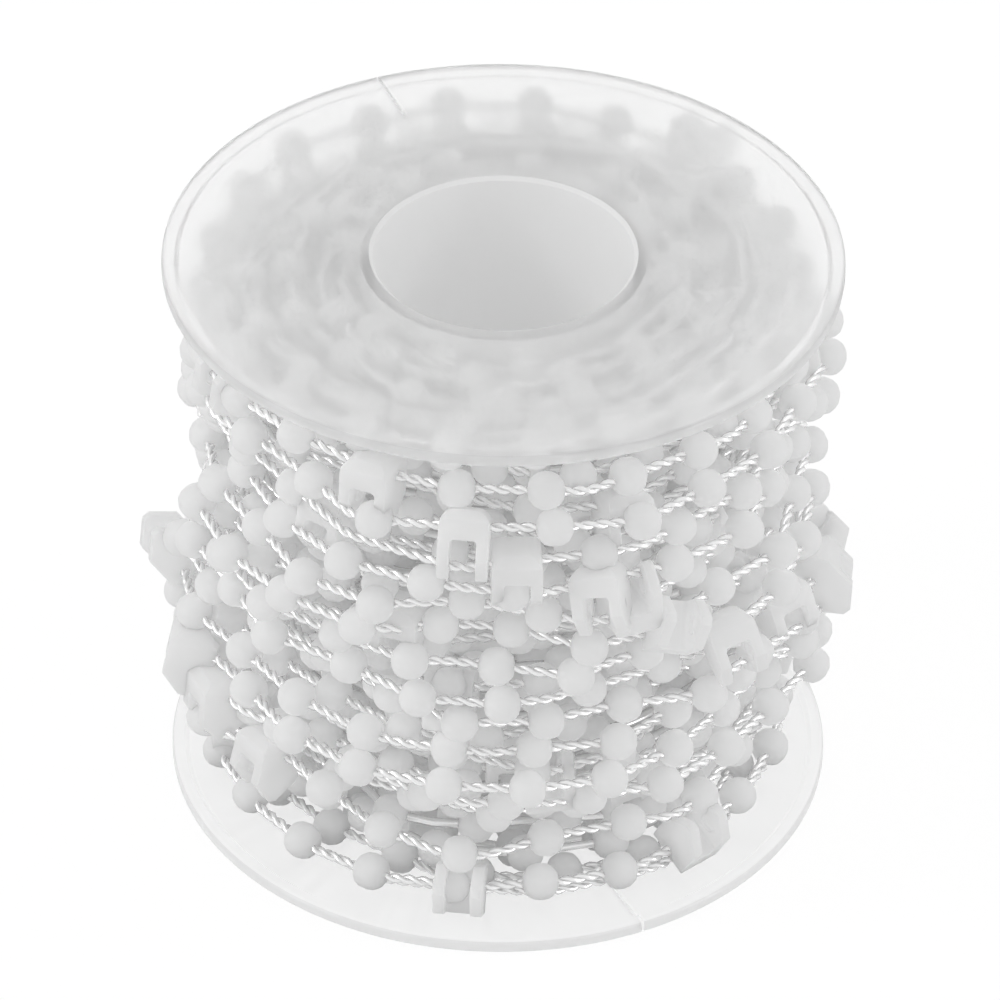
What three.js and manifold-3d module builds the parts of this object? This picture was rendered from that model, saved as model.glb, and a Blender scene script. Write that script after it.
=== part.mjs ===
// Reel of beaded blind chain. A clear spool of two halves that plug together holds thirteen and
// a half metres of white cord, wound in crossing layers. Ball beads are moulded on the cord at an even
// pitch, and at every twelfth place a forked clip takes the place of a bead.
// Millimetres, Z up, origin at the middle of the lower flange's underside.

import * as THREE from 'three';
import Module from 'manifold-3d';
import { mergeVertices } from 'three/addons/utils/BufferGeometryUtils.js';

const wasm = await Module();
wasm.setup();

// Spool
const flangeDiameter = 70;
const spoolHeight = 64.4;
const flangeThickness = 1.0;
const rimHeight = 1.5;
const rimWidth = 1.3;
const rimRound = 0.45;
const hubDiameter = 29.4;
const hubWall = 1.3;
const boreChamfer = 0.4;
const hubLapLength = 9;
const hubSeamHeight = 32.2;
const fitClearance = 0.3;
const slitWidth = 0.4;
const slitLength = 8;
const upperSlitAngle = 113;
const lowerSlitAngle = -64;

// Chain
const chainLength = 13500;
const beadDiameter = 4;
const beadPitch = 9.33;
const cordDiameter = 1.1;
const clipInterval = 12;
const firstClipNumber = 5;

// Clip, measured from the cord that runs through it
const cheekWidth = 5.2;
const cheekThickness = 1.2;
const cheekSpacing = 3.9;
const cheekCorner = 1.0;
const clipBackDepth = 1.9;
const clipShoulderLength = 3.1;
const clipTipLength = 5.3;
const clipTipFlat = 0.9;
const bridgeLength = 5.1;
const bridgeWidth = 3.4;
const bridgeDepth = 3.0;
const pocketDiameter = 2.8;
const pocketDepth = 0.6;
const pocketDistance = 2.5;

// Winding
const turnSpacing = 3.4;
const fullPassCount = 4;
const crownInset = 5;
const layerRise = 3.8;
const layerSlack = 1.7;
const dwellTurnCount = 2;
const guideWander = 0.4;
const sideStep = 0.3;
const sideStepCount = 2;
const sideCostRatio = 0.9;
const pitchPlay = 0.9;
const linkPartCount = 4;
const tightenRoundCount = 4;
const windingSeedNumber = 35;
const clipBallRadius = 2.0;
const clipBallStep = 2.2;
const flatLeastAngle = 76;
const flatMostAngle = 96;
const freeLeastAngle = 12;
const freeTwistAngle = 28;
const freeClipCount = 26;
const mostProud = 5.2;
const coverGap = 4.2;

// Fineness
const flangeSideCount = 48;
const windingSideCount = 36;
const windingRowCount = 11;
const surfaceWindow = 6.5;
const surfacePlaceCount = 4;
const sinkDepth = 1.5;
const leastShow = 3.45;
const beadSwellRatio = 1.06;
const leastBeadRatio = 0.6;
const pocketSideCount = 6;

const degree = Math.PI / 180;
const boreDiameter = hubDiameter - 2 * hubWall;
const beadRadius = beadDiameter / 2;
const cordRadius = cordDiameter / 2;
const upperInside = spoolHeight - flangeThickness;
const clipMargin = cheekWidth / 2 + rimHeight - flangeThickness + fitClearance;

const plastic = new THREE.MeshStandardMaterial({ color: 0xeef0f1, roughness: 0.35, metalness: 0 });
const chainWhite = new THREE.MeshStandardMaterial({ color: 0xf1f2f3, roughness: 0.6, metalness: 0 });
const clipWhite = new THREE.MeshStandardMaterial({ color: 0xeeeff0, roughness: 0.5, metalness: 0 });

// A closed geometry as a solid that can be joined and cut.
function solidOf(geometry) {
  const bare = geometry.clone();
  bare.deleteAttribute('normal');
  bare.deleteAttribute('uv');
  const merged = mergeVertices(bare.index ? bare.toNonIndexed() : bare, 1e-4);
  return new wasm.Manifold(new wasm.Mesh({
    numProp: 3,
    vertProperties: new Float32Array(merged.attributes.position.array),
    triVerts: new Uint32Array(merged.index.array),
  }));
}

// A solid turned back into a geometry.
function geometryOf(solid) {
  const mesh = solid.getMesh();
  const geometry = new THREE.BufferGeometry();
  geometry.setAttribute('position', new THREE.BufferAttribute(mesh.vertProperties, 3));
  geometry.setIndex(new THREE.BufferAttribute(mesh.triVerts, 1));
  geometry.computeVertexNormals();
  return geometry;
}

// A profile of radius and height pairs, turned round the Z axis. It runs up on the outside.
function turned(profile, sides) {
  const points = profile.map(([radius, height]) => new THREE.Vector2(radius, height));
  points.push(points[0].clone());
  return new THREE.LatheGeometry(points, sides).rotateX(90 * degree);
}

// Points of a quarter round between two heights or radii, for a rounded edge.
function quarterRound(radius, height, size, fromAngle, steps) {
  const points = [];
  for (let i = 0; i <= steps; i += 1) {
    const angle = (fromAngle + (90 * i) / steps) * degree;
    points.push([radius + size * Math.cos(angle), height + size * Math.sin(angle)]);
  }
  return points;
}

// The thin cut that runs in from the rim, in which the chain's end can be caught.
function slitCutter(angle, height) {
  const overrun = 1;
  const length = slitLength + overrun;
  const cutter = new THREE.BoxGeometry(length, slitWidth, rimHeight * 4);
  cutter.translate(flangeDiameter / 2 + overrun - length / 2, 0, height);
  cutter.rotateZ(angle * degree);
  return solidOf(cutter);
}

// The lower half: a flange whose thick rim stands up, and a hub whose thin outer lip stands up
// round the other half's inner lip.
function lowerHalfSolid() {
  const rimRadius = flangeDiameter / 2;
  const hubRadius = hubDiameter / 2;
  const boreRadius = boreDiameter / 2;
  const lapRadius = (hubRadius + boreRadius) / 2;
  const lapBottom = hubSeamHeight - hubLapLength / 2;
  const lapTop = hubSeamHeight + hubLapLength / 2 - fitClearance / 2;
  const profile = [
    [boreRadius + boreChamfer, 0],
    ...quarterRound(rimRadius - rimRound, rimRound, rimRound, -90, 2),
    ...quarterRound(rimRadius - rimRound, rimHeight - rimRound, rimRound, 0, 2),
    [rimRadius - rimWidth, rimHeight],
    [rimRadius - rimWidth - (rimHeight - flangeThickness), flangeThickness],
    [hubRadius, flangeThickness],
    [hubRadius, lapTop],
    [lapRadius + fitClearance / 2, lapTop],
    [lapRadius + fitClearance / 2, lapBottom],
    [boreRadius, lapBottom],
    [boreRadius, boreChamfer],
  ];
  return solidOf(turned(profile, flangeSideCount)).subtract(slitCutter(lowerSlitAngle, 0));
}

// The upper half: the same flange the other way up, and a hub with the thin inner lip.
function upperHalfSolid() {
  const rimRadius = flangeDiameter / 2;
  const hubRadius = hubDiameter / 2;
  const boreRadius = boreDiameter / 2;
  const lapRadius = (hubRadius + boreRadius) / 2;
  const lapBottom = hubSeamHeight - hubLapLength / 2 + fitClearance / 2;
  const lapTop = hubSeamHeight + hubLapLength / 2 + fitClearance / 2;
  const rimBottom = spoolHeight - rimHeight;
  const profile = [
    [boreRadius, lapBottom + fitClearance / 2],
    [lapRadius - fitClearance / 2, lapBottom + fitClearance / 2],
    [lapRadius - fitClearance / 2, lapTop],
    [hubRadius, lapTop],
    [hubRadius, upperInside],
    [rimRadius - rimWidth - (rimHeight - flangeThickness), upperInside],
    [rimRadius - rimWidth, rimBottom],
    ...quarterRound(rimRadius - rimRound, rimBottom + rimRound, rimRound, -90, 2),
    ...quarterRound(rimRadius - rimRound, spoolHeight - rimRound, rimRound, 0, 2),
    [boreRadius + boreChamfer, spoolHeight],
    [boreRadius, spoolHeight - boreChamfer],
  ];
  return solidOf(turned(profile, flangeSideCount)).subtract(slitCutter(upperSlitAngle, spoolHeight));
}

// Repeatable numbers from 0 to 1, one after another.
function numberRow(seed) {
  let state = seed;
  return () => {
    state = (state * 16807) % 2147483647;
    return state / 2147483647;
  };
}

// The lowest radius at which a ball clears the hub and everything laid before it.
function restRadius(balls, angle, height, radius) {
  const x = Math.cos(angle);
  const y = Math.sin(angle);
  let rest = hubDiameter / 2 + radius;
  for (const ball of balls) {
    const rise = height - ball.z;
    const reach = radius + ball.radius;
    const outward = ball.x * x + ball.y * y;
    const room = reach * reach - rise * rise - (ball.x * ball.x + ball.y * ball.y - outward * outward);
    if (room > 0 && outward > 0) {
      rest = Math.max(rest, outward + Math.sqrt(room));
    }
  }
  return rest;
}

// The two balls that stand for a clip's legs, as offsets outward and upward from its place.
function legOffsets(lean) {
  return [1, 2].map((step) => ({
    out: step * clipBallStep * Math.cos(lean),
    up: step * clipBallStep * Math.sin(lean),
  }));
}

// Where a bead or clip comes to rest at an angle and height. The cord's pull keeps it within
// the reach of its layer.
function placeRadius(balls, angle, height, lean, pass) {
  const reach = hubDiameter / 2 + beadRadius + pass * layerRise + layerSlack;
  if (lean === null) {
    return Math.min(reach, restRadius(balls, angle, height, beadRadius));
  }
  let rest = restRadius(balls, angle, height, clipBallRadius);
  for (const leg of legOffsets(lean)) {
    rest = Math.max(rest, restRadius(balls, angle, height + leg.up, clipBallRadius) - leg.out);
  }
  return Math.min(reach, rest);
}

// The angle between two places of the chain at the given radii, a straight span apart.
function pitchAngle(radiusA, radiusB, rise, span) {
  const cosine = (radiusA * radiusA + radiusB * radiusB + rise * rise - span * span)
    / (2 * radiusA * radiusB);
  return Math.max(Math.acos(Math.min(1, Math.max(-1, cosine))), span / (2 * radiusA));
}

// The radius at which the straight cord between two points passes a third one's angle.
function chordRadius(before, point, after) {
  const whole = Math.sin(after.angle - before.angle);
  const first = Math.sin(point.angle - before.angle);
  const second = Math.sin(after.angle - point.angle);
  return (before.radius * after.radius * whole) / (before.radius * first + after.radius * second);
}

// A taut cord bridges the hollows, so each point rises to the straight line past it.
function tighten(points, from) {
  for (let round = 0; round < tightenRoundCount; round += 1) {
    for (let i = Math.max(1, from); i < points.length - 1; i += 1) {
      const chord = chordRadius(points[i - 1], points[i], points[i + 1]);
      points[i].radius = Math.max(points[i].radius, chord);
    }
  }
}

// The balls that a point of the chain leaves for later turns to rest on.
function ballsOf(point) {
  const ball = (radius, height, size) => ({
    x: radius * Math.cos(point.angle),
    y: radius * Math.sin(point.angle),
    z: height,
    radius: size,
  });
  if (point.kind === 'cord') {
    return [ball(point.radius, point.height, cordRadius)];
  }
  if (point.kind === 'bead') {
    return [ball(point.radius, point.height, beadRadius)];
  }
  const legs = legOffsets(point.lean);
  return [
    ball(point.radius, point.height, clipBallRadius),
    ...legs.map((leg) => ball(point.radius + leg.out, point.height + leg.up, clipBallRadius)),
  ];
}

// The chain laid turn by turn: it runs up and down between the flanges, and each place slides a
// little sideways to the lowest seat that it finds.
function windChain() {
  const random = numberRow(windingSeedNumber);
  const balls = [];
  const points = [];
  const lowest = flangeThickness + beadRadius + 2 * fitClearance;
  const highest = upperInside - beadRadius - 2 * fitClearance;
  const count = Math.round(chainLength / beadPitch);
  let guide = highest;
  let dwell = dwellTurnCount;
  let direction = -1;
  let pass = 0;
  let shift = 0;
  let laid = 0;
  for (let k = 0; k < count; k += 1) {
    const previous = points[points.length - 1];
    const kind = k % clipInterval === firstClipNumber ? 'clip' : 'bead';
    const turn = previous ? beadPitch / previous.radius : 0;
    const inset = pass < fullPassCount ? 0 : crownInset;
    dwell -= turn / (2 * Math.PI);
    guide += dwell > 0 ? 0 : (direction * turnSpacing * turn) / (2 * Math.PI);
    if (guide * direction > (direction > 0 ? highest - inset : -(lowest + inset))) {
      direction = -direction;
      pass += 1;
      dwell = pass < fullPassCount ? dwellTurnCount : 0;
    }
    const margin = kind === 'clip' ? clipMargin - beadRadius - 2 * fitClearance : 0;
    const drift = guideWander * (2 * random() - 1);
    const span = beadPitch - pitchPlay * random();
    let lean = (flatLeastAngle + (flatMostAngle - flatLeastAngle) * random()) * degree;
    lean *= random() < 0.5 ? -1 : 1;
    const tip = guide + (clipTipLength + beadRadius) * Math.sin(lean);
    lean = tip > highest || tip < lowest ? -lean : lean;
    let best = null;
    for (let step = -sideStepCount; step <= sideStepCount; step += 1) {
      const wanted = guide + drift + step * sideStep;
      const height = Math.min(highest - margin, Math.max(lowest + margin, wanted));
      const rise = previous ? height - previous.height : 0;
      let angle = previous ? previous.angle + turn : 0;
      let radius = placeRadius(balls, angle, height, kind === 'clip' ? lean : null, pass);
      if (previous) {
        angle = previous.angle + pitchAngle(previous.radius, radius, rise, span);
        radius = placeRadius(balls, angle, height, kind === 'clip' ? lean : null, pass);
      }
      const cost = radius + sideCostRatio * Math.abs(step * sideStep - shift);
      if (best === null || cost < best.cost) {
        best = { angle, radius, height, cost, shift: step * sideStep };
      }
    }
    shift = best.shift;
    for (let part = 1; previous && part < linkPartCount; part += 1) {
      const share = part / linkPartCount;
      const angle = previous.angle + share * (best.angle - previous.angle);
      const height = previous.height + share * (best.height - previous.height);
      const reach = Math.max(previous.radius, best.radius) + cordRadius;
      const radius = Math.min(reach, restRadius(balls, angle, height, cordRadius));
      points.push({ kind: 'cord', angle, height, radius });
    }
    points.push({ kind, angle: best.angle, height: best.height, radius: best.radius, lean });
    tighten(points, points.length - 3 * linkPartCount);
    while (laid < points.length - 2 * linkPartCount) {
      balls.push(...ballsOf(points[laid]));
      laid += 1;
    }
  }
  return points;
}

// One cheek of a clip: a small plate with a roof-shaped free end, seen along the cord.
function cheekGeometry() {
  const half = cheekWidth / 2;
  const outline = new THREE.Shape();
  outline.moveTo(-clipBackDepth, -half + cheekCorner);
  outline.lineTo(-clipBackDepth + cheekCorner, -half);
  outline.lineTo(clipShoulderLength, -half);
  outline.lineTo(clipTipLength, -clipTipFlat / 2);
  outline.lineTo(clipTipLength, clipTipFlat / 2);
  outline.lineTo(clipShoulderLength, half);
  outline.lineTo(-clipBackDepth + cheekCorner, half);
  outline.lineTo(-clipBackDepth, half - cheekCorner);
  const cheek = new THREE.ExtrudeGeometry(outline, { depth: cheekThickness, bevelEnabled: false });
  return cheek.rotateX(90 * degree).translate(0, cheekThickness / 2, 0);
}

// A clip: two cheeks that face each other across a gap, with a round pocket in each inner face,
// joined at the back by the bridge that is moulded round the cord. Its free end points along X.
function clipSolid() {
  const bridge = new THREE.BoxGeometry(bridgeDepth, bridgeLength - cheekThickness, bridgeWidth);
  bridge.translate(bridgeDepth / 2 - clipBackDepth, 0, 0);
  const innerFace = (cheekSpacing - cheekThickness) / 2;
  const pocketRadius = pocketDiameter / 2;
  const pockets = new THREE.CylinderGeometry(
    pocketRadius, pocketRadius, 2 * (innerFace + pocketDepth), pocketSideCount);
  pockets.translate(pocketDistance, 0, 0);
  let cheeks = solidOf(bridge);
  for (const side of [-1, 1]) {
    cheeks = cheeks.add(solidOf(cheekGeometry().translate(0, (side * cheekSpacing) / 2, 0)));
  }
  return cheeks.subtract(solidOf(pockets));
}

// Places something modelled in a clip's own frame on the winding: twisted about its own length,
// then leaned away from the outward direction.
function clipPlace(object, clip) {
  const turn = new THREE.Group();
  turn.rotation.z = clip.angle;
  object.position.set(clip.radius, 0, clip.height);
  object.rotation.set(clip.twist, -clip.lean, 0, 'YXZ');
  turn.add(object);
  return turn;
}

// Whether a clip lies so near a flange that its free end could reach it.
function besideFlange(clip, flangeHeight) {
  return Math.abs(flangeHeight - clip.height) < clipTipLength + clipMargin;
}

// The room that a clip takes with its clearance, and the way out from there, as one cutter.
// Beside a flange it runs on through the end of the winding, so that no thin skin is left there.
function clipRoom(clip) {
  const length = cheekSpacing + cheekThickness + 2 * fitClearance;
  const depth = clipBackDepth + clipTipLength + 2 * fitClearance;
  const width = cheekWidth + 2 * fitClearance;
  const toTop = besideFlange(clip, upperInside) ? width / 2 : 0;
  const toBottom = besideFlange(clip, flangeThickness) ? width / 2 : 0;
  let room = null;
  for (const rise of new Set([0, toTop, -toBottom])) {
    for (const outward of [0, width / 2, width]) {
      const block = new THREE.BoxGeometry(depth, length, width);
      block.translate(depth / 2 - clipBackDepth - fitClearance, 0, 0);
      const place = { ...clip, radius: clip.radius + outward, height: clip.height + rise };
      const holder = new THREE.Mesh(block);
      clipPlace(holder, place).updateMatrixWorld(true);
      const solid = solidOf(block.applyMatrix4(holder.matrixWorld));
      room = room ? room.add(solid) : solid;
    }
  }
  return room;
}

// The radius of the winding's own surface near a point: that of the outermost places round it.
function surfaceRadius(places, angle, height) {
  const near = [];
  for (const place of places) {
    const along = 2 * place.radius * Math.abs(Math.sin((place.angle - angle) / 2));
    const facing = Math.cos(place.angle - angle) > 0;
    if (facing && along < surfaceWindow && Math.abs(place.height - height) < surfaceWindow) {
      near.push(place.radius);
    }
  }
  near.sort((a, b) => b - a);
  const outermost = near.slice(0, surfacePlaceCount);
  const sum = outermost.reduce((total, radius) => total + radius, 0);
  return outermost.length > 0 ? sum / outermost.length - sinkDepth : hubDiameter / 2 + beadRadius;
}

// Clips with nothing wound over them swing out from where they lie, each by a different turn and
// twist, or lie flat where a neighbour is in the way. The ones that stand out most are free.
function freeClips(points) {
  const random = numberRow(windingSeedNumber + 1);
  const places = points.filter((point) => point.kind !== 'cord');
  const balls = places.filter((place) => place.kind === 'bead').flatMap(ballsOf);
  const open = [];
  places.forEach((place, order) => {
    if (place.kind === 'clip') {
      const surface = surfaceRadius(places, place.angle, place.height);
      const [, leg] = legOffsets(place.lean);
      const cover = restRadius(balls, place.angle, place.height + leg.up, cordRadius);
      const proud = place.radius - surface;
      const straight = besideFlange(place, upperInside) || besideFlange(place, flangeThickness);
      const twist = straight ? 0 : freeTwistAngle * degree * (2 * random() - 1);
      const least = freeLeastAngle * degree;
      const flat = Math.abs(place.lean);
      const swung = Math.sign(place.lean) * (least + (flat - least) * Math.sqrt(random()));
      const seated = proud > -beadRadius && proud < mostProud;
      if (seated && cover < place.radius + coverGap) {
        open.push({ ...place, order, proud, swung, twist });
      }
    }
  });
  open.sort((a, b) => b.proud - a.proud);
  const free = [];
  for (const place of open) {
    for (const lean of [place.swung, place.lean]) {
      const clip = { ...place, lean };
      const room = clipRoom(clip);
      const taken = free.some((other) => other.order === clip.order || crosses(room, other.room));
      if (!taken && free.length < freeClipCount) {
        free.push({ ...clip, room });
      }
    }
  }
  return free.sort((a, b) => a.order - b.order);
}

// Whether two solids share any space.
function crosses(solidA, solidB) {
  return !solidA.intersect(solidB).isEmpty();
}

// The inner turns as one ring round the hub, whose outside follows the places laid last.
function ringSolid(places) {
  const bottom = flangeThickness + fitClearance;
  const top = upperInside - fitClearance;
  const inner = hubDiameter / 2 + fitClearance;
  const outside = flangeDiameter / 2;
  const profile = [[inner, bottom]];
  for (let row = 0; row < windingRowCount; row += 1) {
    profile.push([outside, bottom + (row * (top - bottom)) / (windingRowCount - 1)]);
  }
  profile.push([inner, top]);
  const ring = turned(profile, windingSideCount);
  const corners = ring.attributes.position;
  for (let i = 0; i < corners.count; i += 1) {
    const [x, y, z] = [corners.getX(i), corners.getY(i), corners.getZ(i)];
    if (Math.hypot(x, y) > (inner + outside) / 2) {
      const scale = surfaceRadius(places, Math.atan2(y, x), z) / Math.hypot(x, y);
      corners.setXYZ(i, x * scale, y * scale, z);
    }
  }
  return solidOf(ring);
}

// A bead where it lies on the winding, with a short root of inner turns that it sits on.
function seatedBead(bead, surface) {
  const seat = Math.min(bead.radius, surface + beadRadius);
  const rootLength = seat - surface + beadRadius;
  const ball = new THREE.IcosahedronGeometry(beadRadius * beadSwellRatio, 0);
  const root = new THREE.BoxGeometry(rootLength, beadRadius / 2, beadRadius / 2);
  root.translate(-rootLength / 2, 0, 0);
  const solid = rootLength > beadRadius / 2 ? solidOf(ball).add(solidOf(root)) : solidOf(ball);
  const turn = new THREE.Matrix4().makeRotationZ(bead.angle);
  const place = new THREE.Matrix4().makeTranslation(seat, 0, bead.height);
  return solid.transform(turn.multiply(place).elements);
}

// The inner turns that a free clip lies on, from within the ring up to the clip's cord.
function clipSeat(clip, surface) {
  const height = clip.radius - surface + beadDiameter;
  const seat = new THREE.BoxGeometry(height, bridgeWidth, bridgeWidth);
  seat.translate(clip.radius - height / 2, 0, clip.height);
  return solidOf(seat.rotateZ(clip.angle));
}

// The wound chain: the ring of inner turns and the clips' seats, cut clear of the free clips,
// with the beads that stand out.
function windingSolid(points, clips) {
  const places = points.filter((point) => point.kind !== 'cord');
  let winding = ringSolid(places);
  for (const clip of clips) {
    winding = winding.add(clipSeat(clip, surfaceRadius(places, clip.angle, clip.height)));
  }
  for (const clip of clips) {
    winding = winding.subtract(clip.room);
  }
  const clipReach = beadRadius + clipTipLength + cheekWidth;
  for (const bead of points.filter((point) => point.kind === 'bead')) {
    const surface = surfaceRadius(places, bead.angle, bead.height);
    if (bead.radius + beadRadius > surface + leastShow) {
      const whole = seatedBead(bead, surface);
      let solid = whole;
      for (const clip of clips) {
        const across = 2 * clip.radius * Math.sin((clip.angle - bead.angle) / 2);
        if (Math.hypot(clip.height - bead.height, across) < clipReach) {
          solid = solid.subtract(clip.room);
        }
      }
      winding = solid.volume() > leastBeadRatio * whole.volume() ? winding.add(solid) : winding;
    }
  }
  const [largest] = winding.decompose().sort((a, b) => b.volume() - a.volume());
  return largest;
}

function named(name, solid, material) {
  const mesh = new THREE.Mesh(geometryOf(solid), material);
  mesh.name = name;
  return mesh;
}

const reel = new THREE.Group();
const chain = windChain();
const outerClips = freeClips(chain);
reel.add(named('spool_lower_half', lowerHalfSolid(), plastic.clone()));
reel.add(named('spool_upper_half', upperHalfSolid(), plastic.clone()));
reel.add(named('wound_chain', windingSolid(chain, outerClips), chainWhite.clone()));
const clipModel = clipSolid();
outerClips.forEach((clip, index) => {
  const number = String(index + 1).padStart(2, '0');
  reel.add(clipPlace(named(`clip_${number}`, clipModel, clipWhite.clone()), clip));
});

export default reel;
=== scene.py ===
# Reel of beaded blind chain: a frosted clear spool of two halves, wound with white cord that
# carries moulded ball beads and forked clips. Metres, Z up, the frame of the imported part.

import math

import bmesh
import bpy
import numpy as np
from mathutils import Matrix, Vector


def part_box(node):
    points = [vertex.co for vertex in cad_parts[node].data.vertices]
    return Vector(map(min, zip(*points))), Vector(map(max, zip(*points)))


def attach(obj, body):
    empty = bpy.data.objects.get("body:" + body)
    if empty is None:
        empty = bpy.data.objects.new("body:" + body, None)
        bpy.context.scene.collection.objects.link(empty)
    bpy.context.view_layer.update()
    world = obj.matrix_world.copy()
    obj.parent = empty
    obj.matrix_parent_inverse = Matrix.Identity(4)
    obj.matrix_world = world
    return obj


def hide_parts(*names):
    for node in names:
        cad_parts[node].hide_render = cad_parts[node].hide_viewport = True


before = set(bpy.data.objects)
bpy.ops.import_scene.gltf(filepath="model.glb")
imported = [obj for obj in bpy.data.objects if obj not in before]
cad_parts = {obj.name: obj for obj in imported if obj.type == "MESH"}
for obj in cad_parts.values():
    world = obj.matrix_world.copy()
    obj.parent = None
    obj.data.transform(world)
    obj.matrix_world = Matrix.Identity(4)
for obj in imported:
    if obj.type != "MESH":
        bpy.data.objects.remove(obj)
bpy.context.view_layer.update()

mm = 0.001
degree = math.pi / 180
scene = bpy.context.scene
scene.view_settings.view_transform = "Standard"
scene.cycles.diffuse_bounces = 12
scene.cycles.adaptive_threshold = 0.05


# Camera: the photograph looks down on the reel from the front, from well away, almost level
# from left to right. The angles and the distance come from the outlines of both flanges.
aim_height = 32.2 * mm
camera_elevation = 37.071 * degree
camera_roll = 0.6786 * degree
camera_distance = 753.7 * mm
camera_data = bpy.data.cameras.new("photo_camera")
camera_data.sensor_width = 36
camera_data.lens = 258.38
camera_data.shift_x = -0.00067
camera_data.shift_y = 0.00303
camera_data.clip_start = 0.05
camera_data.clip_end = 50
camera = bpy.data.objects.new("photo_camera", camera_data)
scene.collection.objects.link(camera)
camera.matrix_world = (
    Matrix.Translation((0, 0, aim_height))
    @ Matrix.Rotation(math.pi / 2 - camera_elevation, 4, "X")
    @ Matrix.Rotation(camera_roll, 4, "Z")
    @ Matrix.Translation((0, 0, camera_distance))
)
scene.camera = camera


# Room: a white sheet under the reel that runs on to all sides, a white surround, and two soft
# lamps from above, the stronger one at the left. Two low lamps beside the reel are there only for
# glosses, as the sheen of the yarn.
class Signal:
    """A value on its way through a material; sums and products add Math nodes."""

    def __init__(self, finish, socket):
        self.finish = finish
        self.socket = socket

    def math(self, operation, first, second):
        return self.finish.node("ShaderNodeMath", {"operation": operation}, {0: first, 1: second})

    def __add__(self, other):
        return self.math("ADD", self, other)

    def __radd__(self, other):
        return self.math("ADD", other, self)

    def __rsub__(self, other):
        return self.math("SUBTRACT", other, self)

    def __mul__(self, other):
        return self.math("MULTIPLY", self, other)

    def __rmul__(self, other):
        return self.math("MULTIPLY", other, self)


class Finish:
    """The node tree of one material or of the surround."""

    def __init__(self, owner):
        owner.use_nodes = True
        self.owner = owner
        self.tree = owner.node_tree
        self.tree.nodes.clear()

    def node(self, kind, settings, sockets, output=0):
        node = self.tree.nodes.new(kind)
        for name, value in settings.items():
            if name == "stops":
                ramp = node.color_ramp.elements
                for index, (place, tone) in enumerate(value):
                    element = ramp[index] if index < 2 else ramp.new(place)
                    element.position = place
                    element.color = (tone, tone, tone, 1)
            else:
                setattr(node, name, value)
        for name, value in sockets.items():
            if isinstance(value, Signal):
                self.tree.links.new(value.socket, node.inputs[name])
            else:
                node.inputs[name].default_value = value
        return Signal(self, node.outputs[output]) if node.outputs else None

    def seen(self):
        """1 for what the camera sees straight, in a gloss or through plastic, and 0 for what only
        lights a dull surface."""
        camera_ray, glossy_ray, through_ray, depth = (
            self.node("ShaderNodeLightPath", {}, {}, output) for output in (
                "Is Camera Ray", "Is Glossy Ray", "Is Transmission Ray", "Diffuse Depth")
        )
        straight = camera_ray.math("MAXIMUM", camera_ray, glossy_ray)
        straight = straight.math("MAXIMUM", straight, through_ray)
        return straight * depth.math("LESS_THAN", depth, 0.5)


horizon_light = 0.82
overhead_loss = 0.32
surround = Finish(bpy.data.worlds.new("surround"))
aim = surround.node("ShaderNodeTexCoord", {}, {}, "Generated")
upward = surround.node("ShaderNodeSeparateXYZ", {}, {"Vector": aim}, "Z")
upward = upward.math("MAXIMUM", upward, 0)
shade = horizon_light - overhead_loss * upward
seen = surround.seen()
strength = shade * (1 - seen) + seen
glow = surround.node("ShaderNodeBackground", {}, {"Color": (1, 1, 1, 1), "Strength": strength})
surround.node("ShaderNodeOutputWorld", {}, {"Surface": glow})
scene.world = surround.owner

sheet_size = 6.0
sheet_shadow = 0.12
sheet_glow = 1.05
sheet_mesh = bmesh.new()
bmesh.ops.create_grid(sheet_mesh, x_segments=1, y_segments=1, size=sheet_size / 2)
sheet_data = bpy.data.meshes.new("floor_sheet")
sheet_mesh.to_mesh(sheet_data)
sheet_mesh.free()
floor_sheet = bpy.data.objects.new("floor_sheet", sheet_data)
scene.collection.objects.link(floor_sheet)
sheet = Finish(bpy.data.materials.new("sheet_white"))
lit = sheet.node("ShaderNodeBsdfDiffuse", {}, {"Color": (0.95, 0.95, 0.95, 1)})
bright = sheet.node("ShaderNodeEmission", {}, {"Color": (1, 1, 1, 1), "Strength": sheet_glow})
share = (1 - sheet_shadow) * sheet.seen()
blended = sheet.node("ShaderNodeMixShader", {}, {0: share, 1: lit, 2: bright})
sheet.node("ShaderNodeOutputMaterial", {}, {"Surface": blended})
sheet_data.materials.append(sheet.owner)


def soft_lamp(name, azimuth, elevation, distance, size, power):
    """A square lamp that faces the reel; azimuth 0 is the camera's side."""
    data = bpy.data.lights.new(name, "AREA")
    data.shape = "SQUARE"
    data.size = size
    data.energy = power
    lamp = bpy.data.objects.new(name, data)
    scene.collection.objects.link(lamp)
    away = Vector((
        math.sin(azimuth) * math.cos(elevation),
        -math.cos(azimuth) * math.cos(elevation),
        math.sin(elevation),
    ))
    turn = away.to_track_quat("Z", "Y").to_matrix().to_4x4()
    lamp.matrix_world = Matrix.Translation(away * distance + Vector((0, 0, aim_height))) @ turn
    return lamp


soft_lamp("main_lamp", -80 * degree, 40 * degree, 0.9, 0.25, 0.95)
soft_lamp("side_lamp", 95 * degree, 35 * degree, 1.0, 0.3, 0.75)
for name, azimuth in (("left_sheen_lamp", -66 * degree), ("right_sheen_lamp", 66 * degree)):
    sheen_lamp = soft_lamp(name, azimuth, 1 * degree, 0.6, 0.10, 1.2)
    sheen_lamp.visible_diffuse = False
    sheen_lamp.visible_transmission = False


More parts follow.
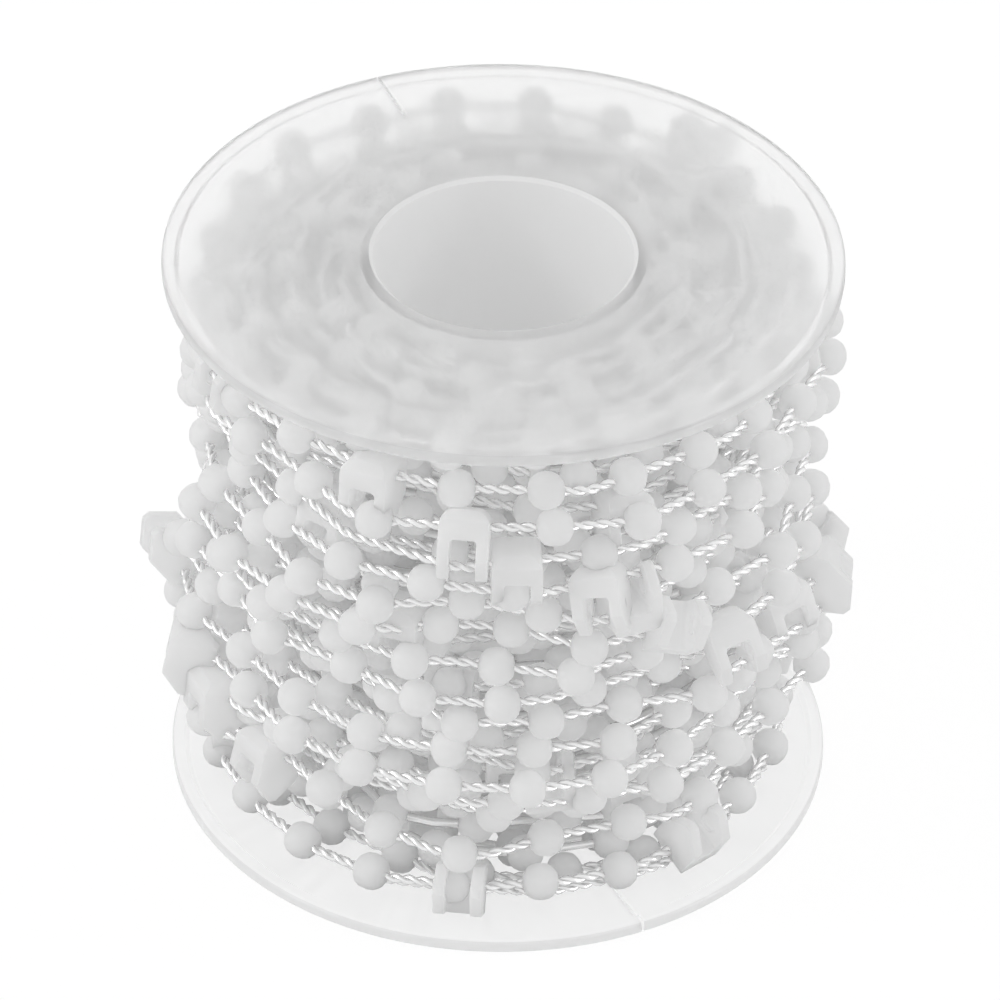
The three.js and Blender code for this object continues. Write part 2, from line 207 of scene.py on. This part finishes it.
# The lie of the chain: it is wound turn by turn on the hub, up and down between the flanges, and
# each bead slides a little sideways to the lowest seat it finds. All sizes are in millimetres.
hub_diameter = 29.4
flange_thickness = 1.0
rim_height = 1.5
spool_height = 64.4
fit_clearance = 0.3
chain_length = 13500
bead_diameter = 4.0
bead_pitch = 9.33
cord_diameter = 1.1
clip_interval = 12
first_clip = 5
cheek_width = 5.2
clip_tip_length = 5.3
turn_spacing = 3.4
full_passes = 4
crown_inset = 5
layer_rise = 3.8
layer_slack = 1.7
dwell_turns = 2
guide_wander = 0.4
side_step = 0.3
side_steps = 2
side_cost = 0.9
pitch_play = 0.9
link_parts = 4
tighten_rounds = 4
loose_places = 3
unsettled_places = 2
winding_seed = 35
clip_ball_radius = 2.0
clip_ball_step = 2.2
flat_lean_least = 76
flat_lean_most = 96

bead_radius = bead_diameter / 2
cord_radius = cord_diameter / 2
upper_inside = spool_height - flange_thickness
clip_margin = cheek_width / 2 + rim_height - flange_thickness + fit_clearance


class Place:
    """A point of the chain, by its angle round the spool, its height and its radius."""

    def __init__(self, kind, angle, height, radius, lean=None, layer=0):
        self.kind = kind
        self.angle = angle
        self.height = height
        self.radius = radius
        self.lean = lean
        self.twist = 0
        self.layer = layer

    def leg_offsets(self):
        return leg_offsets(self.lean)


def number_row(seed):
    """An endless row of numbers spread evenly from 0 to 1, the same for the same seed."""
    multiplier, modulus = 16807, 2147483647
    state = seed
    while True:
        state = state * multiplier % modulus
        yield state / modulus


def rest_radius(balls, angle, height, radius):
    """The lowest radius at which a ball clears the hub and everything laid before it."""
    rise = height - balls[:, 2]
    reach = radius + balls[:, 3]
    outward = balls[:, 0] * math.cos(angle) + balls[:, 1] * math.sin(angle)
    beside = balls[:, 0] * balls[:, 0] + balls[:, 1] * balls[:, 1] - outward * outward
    room = reach * reach - rise * rise - beside
    near = (room > 0) & (outward > 0)
    rests = outward[near] + np.sqrt(room[near])
    return max(hub_diameter / 2 + radius, float(rests.max()) if len(rests) else 0)


def leg_offsets(lean):
    """Out and up from the cord to the two balls that stand for a clip's legs."""
    return [
        (step * clip_ball_step * math.cos(lean), step * clip_ball_step * math.sin(lean))
        for step in (1, 2)
    ]


def place_radius(balls, angle, height, lean, layer):
    """The radius at which a bead or a leaning clip comes to rest, within its layer's reach."""
    reach = hub_diameter / 2 + bead_radius + layer * layer_rise + layer_slack
    if lean is None:
        return min(reach, rest_radius(balls, angle, height, bead_radius))
    rest = rest_radius(balls, angle, height, clip_ball_radius)
    for out, up in leg_offsets(lean):
        rest = max(rest, rest_radius(balls, angle, height + up, clip_ball_radius) - out)
    return min(reach, rest)


def pitch_angle(radius_a, radius_b, rise, span):
    """The angle round the spool from one place to the next, which is a span of cord away."""
    cosine = radius_a * radius_a + radius_b * radius_b + rise * rise - span * span
    cosine = cosine / (2 * radius_a * radius_b)
    return max(math.acos(min(1, max(-1, cosine))), span / (2 * radius_a))


def tighten(points, start):
    """A taut cord bridges the hollows, so each point rises to the straight line past it."""
    for _ in range(tighten_rounds):
        for i in range(max(1, start), len(points) - 1):
            before, point, after = points[i - 1], points[i], points[i + 1]
            whole = math.sin(after.angle - before.angle)
            first = math.sin(point.angle - before.angle)
            second = math.sin(after.angle - point.angle)
            weight = before.radius * first + after.radius * second
            point.radius = max(point.radius, before.radius * after.radius * whole / weight)


def balls_of(point):
    """The balls that a point of the chain leaves for later turns to rest on."""
    offsets = [(0, 0)]
    size = {"cord": cord_radius, "bead": bead_radius, "clip": clip_ball_radius}[point.kind]
    if point.kind == "clip":
        offsets += point.leg_offsets()
    return [
        (
            (point.radius + out) * math.cos(point.angle),
            (point.radius + out) * math.sin(point.angle),
            point.height + up,
            size,
        )
        for out, up in offsets
    ]


def wind_chain():
    """The points of the chain, in the order in which they are laid."""
    numbers = number_row(winding_seed)
    lowest = flange_thickness + bead_radius + 2 * fit_clearance
    highest = upper_inside - bead_radius - 2 * fit_clearance
    count = round(chain_length / bead_pitch)
    store = np.zeros((count * (link_parts + 2), 4))
    filled = 0
    points = []
    guide, dwell, direction, layer, shift, laid = highest, dwell_turns, -1, 0, 0, 0
    for k in range(count):
        previous = points[-1] if points else None
        kind = "clip" if k % clip_interval == first_clip else "bead"
        turn = bead_pitch / previous.radius if previous else 0
        inset = 0 if layer < full_passes else crown_inset
        dwell -= turn / (2 * math.pi)
        guide += 0 if dwell > 0 else direction * turn_spacing * turn / (2 * math.pi)
        if guide * direction > (highest - inset if direction > 0 else -(lowest + inset)):
            direction = -direction
            layer += 1
            dwell = dwell_turns if layer < full_passes else 0
        margin = clip_margin - bead_radius - 2 * fit_clearance if kind == "clip" else 0
        drift = guide_wander * (2 * next(numbers) - 1)
        span = bead_pitch - pitch_play * next(numbers)
        lean = (flat_lean_least + (flat_lean_most - flat_lean_least) * next(numbers)) * degree
        lean *= -1 if next(numbers) < 0.5 else 1
        tip = guide + (clip_tip_length + bead_radius) * math.sin(lean)
        lean = -lean if tip > highest or tip < lowest else lean
        balls = store[:filled]
        best = None
        for step in range(-side_steps, side_steps + 1):
            wanted = guide + drift + step * side_step
            height = min(highest - margin, max(lowest + margin, wanted))
            rise = height - previous.height if previous else 0
            angle = previous.angle + turn if previous else 0
            own_lean = lean if kind == "clip" else None
            radius = place_radius(balls, angle, height, own_lean, layer)
            if previous:
                angle = previous.angle + pitch_angle(previous.radius, radius, rise, span)
                radius = place_radius(balls, angle, height, own_lean, layer)
            cost = radius + side_cost * abs(step * side_step - shift)
            if best is None or cost < best[0]:
                best = (cost, angle, height, radius, step * side_step)
        _, angle, height, radius, shift = best
        for part in range(1, link_parts if previous else 1):
            share = part / link_parts
            link_angle = previous.angle + share * (angle - previous.angle)
            link_height = previous.height + share * (height - previous.height)
            reach = max(previous.radius, radius) + cord_radius
            rest = rest_radius(balls, link_angle, link_height, cord_radius)
            points.append(Place("cord", link_angle, link_height, min(reach, rest), None, layer))
        points.append(Place(kind, angle, height, radius, lean, layer))
        tighten(points, len(points) - loose_places * link_parts)
        while laid < len(points) - unsettled_places * link_parts:
            for ball in balls_of(points[laid]):
                store[filled] = ball
                filled += 1
            laid += 1
    return points


chain = wind_chain()


# Cord: two plies of shiny white yarn, twisted round each other. The outer turns show the twist;
# the turns underneath, of which only glimpses are left, are one plain round cord.
ply_diameter = 0.58
ply_offset = 0.27
twist_length = 3.0
rings_per_twist = 7
first_twisted_layer = 3
# Painted light: yarn, beads and clips glow faintly, though no lamp, to lift the shade in gaps.
painted_glow = 0.037


def shown(name, data, finish):
    """Puts a finished piece into the scene; it rides on the reel's only body."""
    piece = bpy.data.objects.new(name, data)
    scene.collection.objects.link(piece)
    data.materials.append(finish)
    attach(piece, "root")
    return piece


def cord_line(points):
    """The length along the cord up to each point, and each point's angle, height and radius."""
    turns = np.array([(point.angle, point.height, point.radius) for point in points])
    steps = np.hypot(np.diff(turns[:, 0]) * turns[1:, 2], np.diff(turns[:, 1]))
    length = np.concatenate(([0], np.cumsum(steps)))
    return length, turns


def tube(name, path, diameter, resolution):
    """A round cord along a path of points in millimetres."""
    data = bpy.data.curves.new(name, "CURVE")
    data.dimensions = "3D"
    data.bevel_depth = diameter / 2 * mm
    data.bevel_resolution = resolution
    data.use_fill_caps = True
    spline = data.splines.new("POLY")
    spline.points.add(len(path) - 1)
    whole = np.column_stack((path * mm, np.ones(len(path))))
    spline.points.foreach_set("co", whole.ravel())
    return data


def ply_path(points, start):
    """One ply: a left-handed screw line round the cord's own line."""
    length, turns = cord_line(points)
    along = np.arange(0, length[-1], twist_length / rings_per_twist)
    angle, height, radius = (np.interp(along, length, turns[:, i]) for i in range(3))
    stiffness = np.array([1, 2, 3, 2, 1]) / 9
    for values in (height, radius):
        values[2:-2] = np.convolve(values, stiffness, "valid")
    screw = start - 2 * math.pi * along / twist_length
    outward = radius + ply_offset * np.cos(screw)
    height = height + ply_offset * np.sin(screw)
    return np.column_stack((outward * np.cos(angle), outward * np.sin(angle), height))


yarn = Finish(bpy.data.materials.new("yarn_white"))
where = yarn.node("ShaderNodeTexCoord", {}, {}, "Object")
fibre = yarn.node(
    "ShaderNodeTexNoise", {}, {"Vector": where, "Scale": 5200.0, "Detail": 2.0, "Roughness": 0.6})
lift = yarn.node("ShaderNodeBump", {}, {"Strength": 0.25, "Distance": 0.00004, "Height": fibre})
tint = yarn.node(
    "ShaderNodeValToRGB", {"stops": [(0.3, 0.86), (0.7, 0.93)]}, {"Fac": fibre})
yarn_surface = yarn.node("ShaderNodeBsdfPrincipled", {}, {
    "Base Color": tint,
    "Metallic": 0.60,
    "Roughness": 0.26,
    "Coat Weight": 0.5,
    "Coat Roughness": 0.20,
    # painted light: a faint white glow, no lamp
    "Emission Color": (1, 1, 1, 1),
    "Emission Strength": painted_glow,
    "Subsurface Weight": 0.3,
    "Subsurface Radius": (1.0, 1.0, 1.0),
    "Subsurface Scale": 0.0015,
    "Normal": lift,
})
yarn.node("ShaderNodeOutputMaterial", {}, {"Surface": yarn_surface})

turning_point = next(i for i, point in enumerate(chain) if point.layer == first_twisted_layer)
inner_path = np.array([
    (point.radius * math.cos(point.angle), point.radius * math.sin(point.angle), point.height)
    for point in chain[:turning_point + 1]
])
inner_cord = shown("inner_cord", tube("inner_cord", inner_path, cord_diameter, 0), yarn.owner)
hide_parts("wound_chain")
for name, start in (("cord_ply_1", 0), ("cord_ply_2", math.pi)):
    path = ply_path(chain[turning_point:], start)
    ply = shown(name, tube(name, path, ply_diameter, 1), yarn.owner)
    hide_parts("wound_chain")


# Beads: balls of white plastic, moulded straight onto the cord at an even pitch, with the satin
# skin of the mould. The cord goes in and out at their poles.
bead_smoothing = 1
rounding_loss = 0.84
least_bead_gap = 3.2


def bead_ball():
    """A ball of a few faces, its poles along X."""
    form = bmesh.new()
    bmesh.ops.create_cube(form, size=1)
    bmesh.ops.subdivide_edges(form, edges=form.edges, cuts=1, use_grid_fill=True)
    for vertex in form.verts:
        vertex.co = vertex.co.normalized() * bead_radius / rounding_loss * mm
    for face in form.faces:
        face.smooth = True
    data = bpy.data.meshes.new("bead_ball")
    form.to_mesh(data)
    form.free()
    return data


def chain_frame(place):
    """The frame of a place: X outward, Y along the cord, Z up, in metres."""
    return (
        Matrix.Rotation(place.angle, 4, "Z")
        @ Matrix.Translation((place.radius * mm, 0, place.height * mm))
    )


def strung(name, model, places, turns):
    """One mesh with a copy of a model at each place."""
    form = bmesh.new()
    for place, turn in zip(places, turns):
        move = chain_frame(place) @ turn
        copy = model.copy()
        copy.transform(move)
        form.from_mesh(copy)
        bpy.data.meshes.remove(copy)
    data = bpy.data.meshes.new(name)
    form.to_mesh(data)
    form.free()
    return data


bead_white = Finish(bpy.data.materials.new("bead_white"))
where = bead_white.node("ShaderNodeTexCoord", {}, {}, "Object")
cloud = bead_white.node("ShaderNodeTexNoise", {}, {"Vector": where, "Scale": 90.0, "Detail": 3.0})
skin = bead_white.node("ShaderNodeTexNoise", {}, {"Vector": where, "Scale": 1400.0, "Detail": 2.0})
tint = bead_white.node(
    "ShaderNodeValToRGB", {"stops": [(0.3, 0.95), (0.7, 0.97)]}, {"Fac": cloud})
lift = bead_white.node("ShaderNodeBump", {}, {
    "Strength": 0.12, "Distance": 0.00006, "Height": skin})
bead_surface = bead_white.node("ShaderNodeBsdfPrincipled", {}, {
    "Base Color": tint,
    "Roughness": 0.62 + 0.12 * skin,
    "Specular IOR Level": 0.25,
    # painted light: a faint white glow, no lamp
    "Emission Color": (1, 1, 1, 1),
    "Emission Strength": painted_glow,
    "Subsurface Weight": 1.0,
    "Subsurface Radius": (1.0, 1.0, 1.0),
    "Subsurface Scale": 0.004,
    "Normal": lift,
})
bead_white.node("ShaderNodeOutputMaterial", {}, {"Surface": bead_surface})

ball = bead_ball()
numbers = number_row(winding_seed + 2)

# Where two beads would press deep into each other, only the one that was laid later is there.
bead_places = []
for place in reversed([point for point in chain if point.kind == "bead"]):
    middle = chain_frame(place).translation / mm
    gaps = [(middle - chain_frame(other).translation / mm).length for other in bead_places]
    if min(gaps, default=least_bead_gap) >= least_bead_gap:
        bead_places.append(place)
for name, shows in (("inner_beads", False), ("outer_beads", True)):
    places = [point for point in bead_places if (point.layer >= first_twisted_layer) == shows]
    turns = [Matrix.Rotation(2 * math.pi * next(numbers), 4, "Y") for _ in places]
    beads = shown(name, strung(name, ball, places, turns), bead_white.owner)
    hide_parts("wound_chain")
    rounding = beads.modifiers.new("rounding", "SUBSURF")
    rounding.levels = bead_smoothing
    rounding.render_levels = bead_smoothing
bpy.data.meshes.remove(ball)


# Clips: moulded on the cord in place of every twelfth bead. Each is a small arch of satin white
# plastic across the cord: a rounded back and two legs with pointed ends and a round pocket inside.
cheek_thickness = 1.2
cheek_spacing = 3.9
cheek_corner = 1.0
clip_back_depth = 1.9
clip_shoulder_length = 3.1
clip_tip_flat = 0.9
bridge_depth = 3.0
crown_round = 1.5
crotch_round = 0.4
arc_steps = 4
pocket_diameter = 2.1
pocket_depth = 0.5
pocket_distance = 2.9
pocket_sides = 12
edge_round = 0.22
tip_depth = 0.05
near_enough = 0.01
flat_on = 0.9


def corner_arc(x, y, radius, start, sweep):
    """Points round a corner of a flat outline; the centre of the round is at x, y."""
    angles = [(start + sweep * i / arc_steps) * degree for i in range(arc_steps + 1)]
    return [(x + radius * math.cos(a), y + radius * math.sin(a)) for a in angles]


def trimmed(form, place, outward):
    """Cuts off all that lies beyond a plane and closes the cut."""
    cut = bmesh.ops.bisect_plane(
        form, geom=form.verts[:] + form.edges[:] + form.faces[:],
        plane_co=place, plane_no=outward, clear_outer=True)
    edges = [part for part in cut["geom_cut"] if isinstance(part, bmesh.types.BMEdge)]
    bmesh.ops.holes_fill(form, edges=edges)


def add_pocket(form, face, side):
    """Sinks a round pocket into the inner face of a leg."""
    rim = list(face.edges)
    level = face.calc_center_median().y
    bmesh.ops.delete(form, geom=[face], context="FACES_ONLY")
    place = Matrix.Translation((pocket_distance, level, 0))
    circle = bmesh.ops.create_circle(
        form, segments=pocket_sides, radius=pocket_diameter / 2,
        matrix=place @ Matrix.Rotation(math.pi / 2, 4, "X"))["verts"]
    mouth = list({edge for vertex in circle for edge in vertex.link_edges})
    bmesh.ops.triangle_fill(form, use_beauty=True, edges=rim + mouth)
    wall = bmesh.ops.extrude_edge_only(form, edges=mouth)["geom"]
    floor = [part for part in wall if isinstance(part, bmesh.types.BMVert)]
    bmesh.ops.translate(form, verts=floor, vec=(0, side * pocket_depth, 0))
    bottom = [part for part in wall if isinstance(part, bmesh.types.BMEdge)]
    bottom = [edge for edge in bottom if edge.verts[0] in floor and edge.verts[1] in floor]
    bmesh.ops.contextual_create(form, geom=bottom)


def clip_model():
    """The whole clip: X towards the free ends, Y along the cord."""
    outer = (cheek_spacing + cheek_thickness) / 2
    inner = (cheek_spacing - cheek_thickness) / 2
    crotch = bridge_depth - clip_back_depth
    half = cheek_width / 2
    outline = [
        (clip_tip_length, -outer),
        *reversed(corner_arc(crown_round - clip_back_depth, crown_round - outer, crown_round,
                             180, 90)),
        *reversed(corner_arc(crown_round - clip_back_depth, outer - crown_round, crown_round,
                             90, 90)),
        (clip_tip_length, outer),
        (clip_tip_length, inner),
        *corner_arc(crotch + crotch_round, inner - crotch_round, crotch_round, 90, 90),
        *corner_arc(crotch + crotch_round, crotch_round - inner, crotch_round, 180, 90),
        (clip_tip_length, -inner),
    ]
    form = bmesh.new()
    base = form.faces.new([form.verts.new((x, y, -half)) for x, y in outline])
    grown = bmesh.ops.extrude_face_region(form, geom=[base], use_keep_orig=True)["geom"]
    lifted = [part for part in grown if isinstance(part, bmesh.types.BMVert)]
    bmesh.ops.translate(form, verts=lifted, vec=(0, 0, cheek_width))
    bmesh.ops.recalc_face_normals(form, faces=form.faces)
    slope = Vector((half - clip_tip_flat / 2, 0, clip_tip_length - clip_shoulder_length))
    for side in (-1, 1):
        shoulder = Vector((clip_shoulder_length, 0, side * half))
        trimmed(form, shoulder, Vector((slope.x, 0, side * slope.z)))
        back = Vector((cheek_corner - clip_back_depth, 0, side * half))
        trimmed(form, back, Vector((-1, 0, side)))
    legs = [
        face for face in form.faces
        if abs(face.normal.y) > flat_on and face.calc_center_median().x > crotch
        and abs(abs(face.calc_center_median().y) - inner) < near_enough
    ]
    for face in legs:
        add_pocket(form, face, math.copysign(1, face.calc_center_median().y))
    bmesh.ops.recalc_face_normals(form, faces=form.faces)
    bmesh.ops.scale(form, verts=form.verts, vec=(mm, mm, mm))
    for face in form.faces:
        face.smooth = True
    data = bpy.data.meshes.new("clip_model")
    form.to_mesh(data)
    form.free()
    return data


def node_turn(node, place):
    """How a free clip lies, read from its own solid: its lean and its twist about its length."""
    corners = np.array([vertex.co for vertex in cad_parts[node].data.vertices]) / mm
    outward = corners[:, 0] * math.cos(place.angle) + corners[:, 1] * math.sin(place.angle)
    along = corners[:, 1] * math.cos(place.angle) - corners[:, 0] * math.sin(place.angle)
    offsets = np.column_stack((outward - place.radius, corners[:, 2] - place.height))
    reach = np.hypot(offsets[:, 0], offsets[:, 1])
    tips = reach > reach.max() - tip_depth
    out, up = offsets[tips].mean(axis=0)
    lean = math.atan2(up, out)
    across = offsets[:, 1] * math.cos(lean) - offsets[:, 0] * math.sin(lean)
    twist = math.atan2((across * np.sign(along))[tips].mean(), np.abs(along)[tips].mean())
    return lean, twist


def place_of(node, places):
    """The place of the chain at which a free clip's solid lies."""
    low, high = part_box(node)
    middle = (low + high) / 2 / mm
    return min(places, key=lambda place: (chain_frame(place).translation / mm - middle).length)


clip_white = Finish(bpy.data.materials.new("clip_white"))
where = clip_white.node("ShaderNodeTexCoord", {}, {}, "Object")
cloud = clip_white.node("ShaderNodeTexNoise", {}, {"Vector": where, "Scale": 120.0, "Detail": 3.0})
skin = clip_white.node("ShaderNodeTexNoise", {}, {"Vector": where, "Scale": 1600.0, "Detail": 2.0})
tint = clip_white.node(
    "ShaderNodeValToRGB", {"stops": [(0.3, 0.95), (0.7, 0.97)]}, {"Fac": cloud})
lift = clip_white.node("ShaderNodeBump", {}, {
    "Strength": 0.15, "Distance": 0.00006, "Height": skin})
clip_surface = clip_white.node("ShaderNodeBsdfPrincipled", {}, {
    "Base Color": tint,
    "Roughness": 0.56 + 0.12 * skin,
    "Specular IOR Level": 0.30,
    # painted light: a faint white glow, no lamp
    "Emission Color": (1, 1, 1, 1),
    "Emission Strength": painted_glow,
    "Subsurface Weight": 1.0,
    "Subsurface Radius": (1.0, 1.0, 1.0),
    "Subsurface Scale": 0.004,
    "Normal": lift,
})
clip_white.node("ShaderNodeOutputMaterial", {}, {"Surface": clip_surface})

clip_places = [point for point in chain if point.kind == "clip"]
free_nodes = sorted(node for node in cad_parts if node.startswith("clip_"))
free_places = []
for node in free_nodes:
    place = place_of(node, clip_places)
    place.lean, place.twist = node_turn(node, place)
    free_places.append(place)
covered_places = [place for place in clip_places if place not in free_places]
model = clip_model()
for name, places in (("free_clips", free_places), ("covered_clips", covered_places)):
    turns = [
        Matrix.Rotation(-place.lean, 4, "Y") @ Matrix.Rotation(place.twist, 4, "X")
        for place in places
    ]
    clips = shown(name, strung(name, model, places, turns), clip_white.owner)
    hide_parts(*(free_nodes if places is free_places else ["wound_chain"]))
    edges = clips.modifiers.new("edges", "BEVEL")
    edges.width = edge_round * mm
    edges.segments = 2
    edges.limit_method = "ANGLE"
    edges.angle_limit = 35 * degree
bpy.data.meshes.remove(model)


# Spool halves: thin clear plastic, moulded with a frosted skin. Each has a flange with a thicker
# rim and half of the hub; the hubs plug together in a lap joint. A slit at each rim holds the end.
flange_diameter = 70.0
bore_diameter = 26.8
bore_chamfer = 0.4
rim_width = 1.3
rim_round = 0.45
rim_arc_steps = 5
hub_lap_length = 9.0
hub_seam_height = 32.2
slit_width = 0.3
slit_length = 8.0
upper_slit_angle = 113
lower_slit_angle = -64
spool_steps = 180


def quarter_round(radius, height, start):
    """Points round one quarter of the rim's rounded edge."""
    angles = [(start + 90 * i / rim_arc_steps) * degree for i in range(rim_arc_steps + 1)]
    return [(radius + rim_round * math.cos(a), height + rim_round * math.sin(a)) for a in angles]


def lower_profile():
    """The lower half cut through, as radius and height; its lip is the outer one of the lap."""
    rim, hub, bore = flange_diameter / 2, hub_diameter / 2, bore_diameter / 2
    lap = (hub + bore) / 2
    lap_bottom = hub_seam_height - hub_lap_length / 2
    lap_top = hub_seam_height + hub_lap_length / 2 - fit_clearance / 2
    slit = rim - slit_length
    return [
        (bore + bore_chamfer, 0),
        (slit, 0),
        *quarter_round(rim - rim_round, rim_round, -90),
        *quarter_round(rim - rim_round, rim_height - rim_round, 0),
        (rim - rim_width, rim_height),
        (rim - rim_width - (rim_height - flange_thickness), flange_thickness),
        (slit, flange_thickness),
        (hub, flange_thickness),
        (hub, lap_top),
        (lap + fit_clearance / 2, lap_top),
        (lap + fit_clearance / 2, lap_bottom),
        (bore, lap_bottom),
        (bore, bore_chamfer),
    ]


def upper_profile():
    """The upper half cut through, as radius and height; its lip is the inner one of the lap."""
    rim, hub, bore = flange_diameter / 2, hub_diameter / 2, bore_diameter / 2
    lap = (hub + bore) / 2
    lap_bottom = hub_seam_height - hub_lap_length / 2 + fit_clearance
    lap_top = hub_seam_height + hub_lap_length / 2 + fit_clearance / 2
    rim_bottom = spool_height - rim_height
    slit = rim - slit_length
    return [
        (bore, lap_bottom),
        (lap - fit_clearance / 2, lap_bottom),
        (lap - fit_clearance / 2, lap_top),
        (hub, lap_top),
        (hub, upper_inside),
        (slit, upper_inside),
        (rim - rim_width - (rim_height - flange_thickness), upper_inside),
        (rim - rim_width, rim_bottom),
        *quarter_round(rim - rim_round, rim_bottom + rim_round, -90),
        *quarter_round(rim - rim_round, spool_height - rim_round, 0),
        (slit, spool_height),
        (bore + bore_chamfer, spool_height),
        (bore, spool_height - bore_chamfer),
    ]


def spun_half(name, profile, slit_angle):
    """A profile spun round the axis, with a slit left open in the outer part of the flange."""
    opening = slit_width / (flange_diameter / 2)
    slit = flange_diameter / 2 - slit_length
    form = bmesh.new()
    start = [form.verts.new((radius * mm, 0, height * mm)) for radius, height in profile]
    loop = [form.edges.new((start[i - 1], start[i])) for i in range(len(start))]
    bmesh.ops.rotate(
        form, verts=start, matrix=Matrix.Rotation(slit_angle * degree + opening / 2, 3, "Z"))
    last = bmesh.ops.spin(
        form, geom=start + loop, axis=(0, 0, 1), cent=(0, 0, 0),
        angle=2 * math.pi - opening, steps=spool_steps)["geom_last"]
    end = [part for part in last if isinstance(part, bmesh.types.BMVert)]

    def radius_of(vertex):
        return vertex.co.xy.length / mm

    def partner(vertex):
        return min(end, key=lambda other: (
            abs(radius_of(other) - radius_of(vertex)) + abs(other.co.z - vertex.co.z) / mm))

    pairs = {vertex: partner(vertex) for vertex in start}
    for i in range(len(start)):
        a, b = start[i - 1], start[i]
        if max(radius_of(a), radius_of(b)) < slit + near_enough:
            form.faces.new((a, b, pairs[b], pairs[a]))
    outer = [vertex for vertex in start if radius_of(vertex) > slit - near_enough]
    ends = [vertex for vertex in outer if radius_of(vertex) < slit + near_enough]
    form.faces.new((ends[0], ends[1], pairs[ends[1]], pairs[ends[0]]))
    form.faces.new(outer)
    form.faces.new([pairs[vertex] for vertex in outer])
    bmesh.ops.recalc_face_normals(form, faces=form.faces)
    for face in form.faces:
        face.smooth = True
    data = bpy.data.meshes.new(name)
    form.to_mesh(data)
    form.free()
    data.set_sharp_from_angle(angle=30 * degree)
    return data


def clear_plastic(name, tone, passing, roughness, haze, glow):
    """Frosted plastic: a share of the light passes it clearly, and the haze spreads another."""
    finish = Finish(bpy.data.materials.new(name))
    where = finish.node("ShaderNodeTexCoord", {}, {}, "Object")
    frost = finish.node("ShaderNodeTexNoise", {}, {"Vector": where, "Scale": 900.0, "Detail": 3.0})
    flow = finish.node("ShaderNodeTexNoise", {}, {"Vector": where, "Scale": 45.0, "Detail": 2.0})
    tint = finish.node(
        "ShaderNodeValToRGB", {"stops": [(0.3, tone - 0.015), (0.7, tone)]}, {"Fac": flow})
    lift = finish.node("ShaderNodeBump", {}, {
        "Strength": 0.08, "Distance": 0.00005, "Height": frost})
    surface = finish.node("ShaderNodeBsdfPrincipled", {}, {
        "Base Color": tint,
        "Roughness": roughness + 0.06 * flow,
        "IOR": 1.30,
        "Transmission Weight": passing,
        "Emission Color": (1, 1, 1, 1),
        # painted light: the plastic glows faintly, though it is no lamp
        "Emission Strength": glow,
        "Normal": lift,
    })
    spread = finish.node("ShaderNodeBsdfTranslucent", {}, {"Color": (1, 1, 1, 1)})
    milky = finish.node("ShaderNodeMixShader", {}, {0: haze, 1: surface, 2: spread})
    finish.node("ShaderNodeOutputMaterial", {}, {"Surface": milky})
    return finish


# The flange and the hub glow faintly: painted light that brightens the flange and the bore.
flange_plastic = clear_plastic("frosted_flange_plastic", 1.0, 0.88, 0.29, 0.11, 0.045)
hub_plastic = clear_plastic("frosted_hub_plastic", 1.0, 0.03, 0.40, 0.0, 0.026)
# Painted shade: the rim faces are a tone darker, for the dark line refraction draws at the rim.
rim_painted_shade = clear_plastic("frosted_edge_plastic", 0.90, 0.60, 0.30, 0.10, 0.0)
for name, profile, angle, node in (
    ("clear_lower_half", lower_profile(), lower_slit_angle, "spool_lower_half"),
    ("clear_upper_half", upper_profile(), upper_slit_angle, "spool_upper_half"),
):
    half = shown(name, spun_half(name, profile, angle), flange_plastic.owner)
    half.data.materials.append(hub_plastic.owner)
    half.data.materials.append(rim_painted_shade.owner)
    hub_look, rim_shade_look = 1, 2
    for face in half.data.polygons:
        reach = Vector(face.center[:2]).length / mm
        if reach < hub_diameter / 2 + near_enough:
            face.material_index = hub_look
        # the rim faces take the darker tone, painted shade
        elif reach > flange_diameter / 2 - rim_round / 2:
            face.material_index = rim_shade_look
    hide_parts(node)
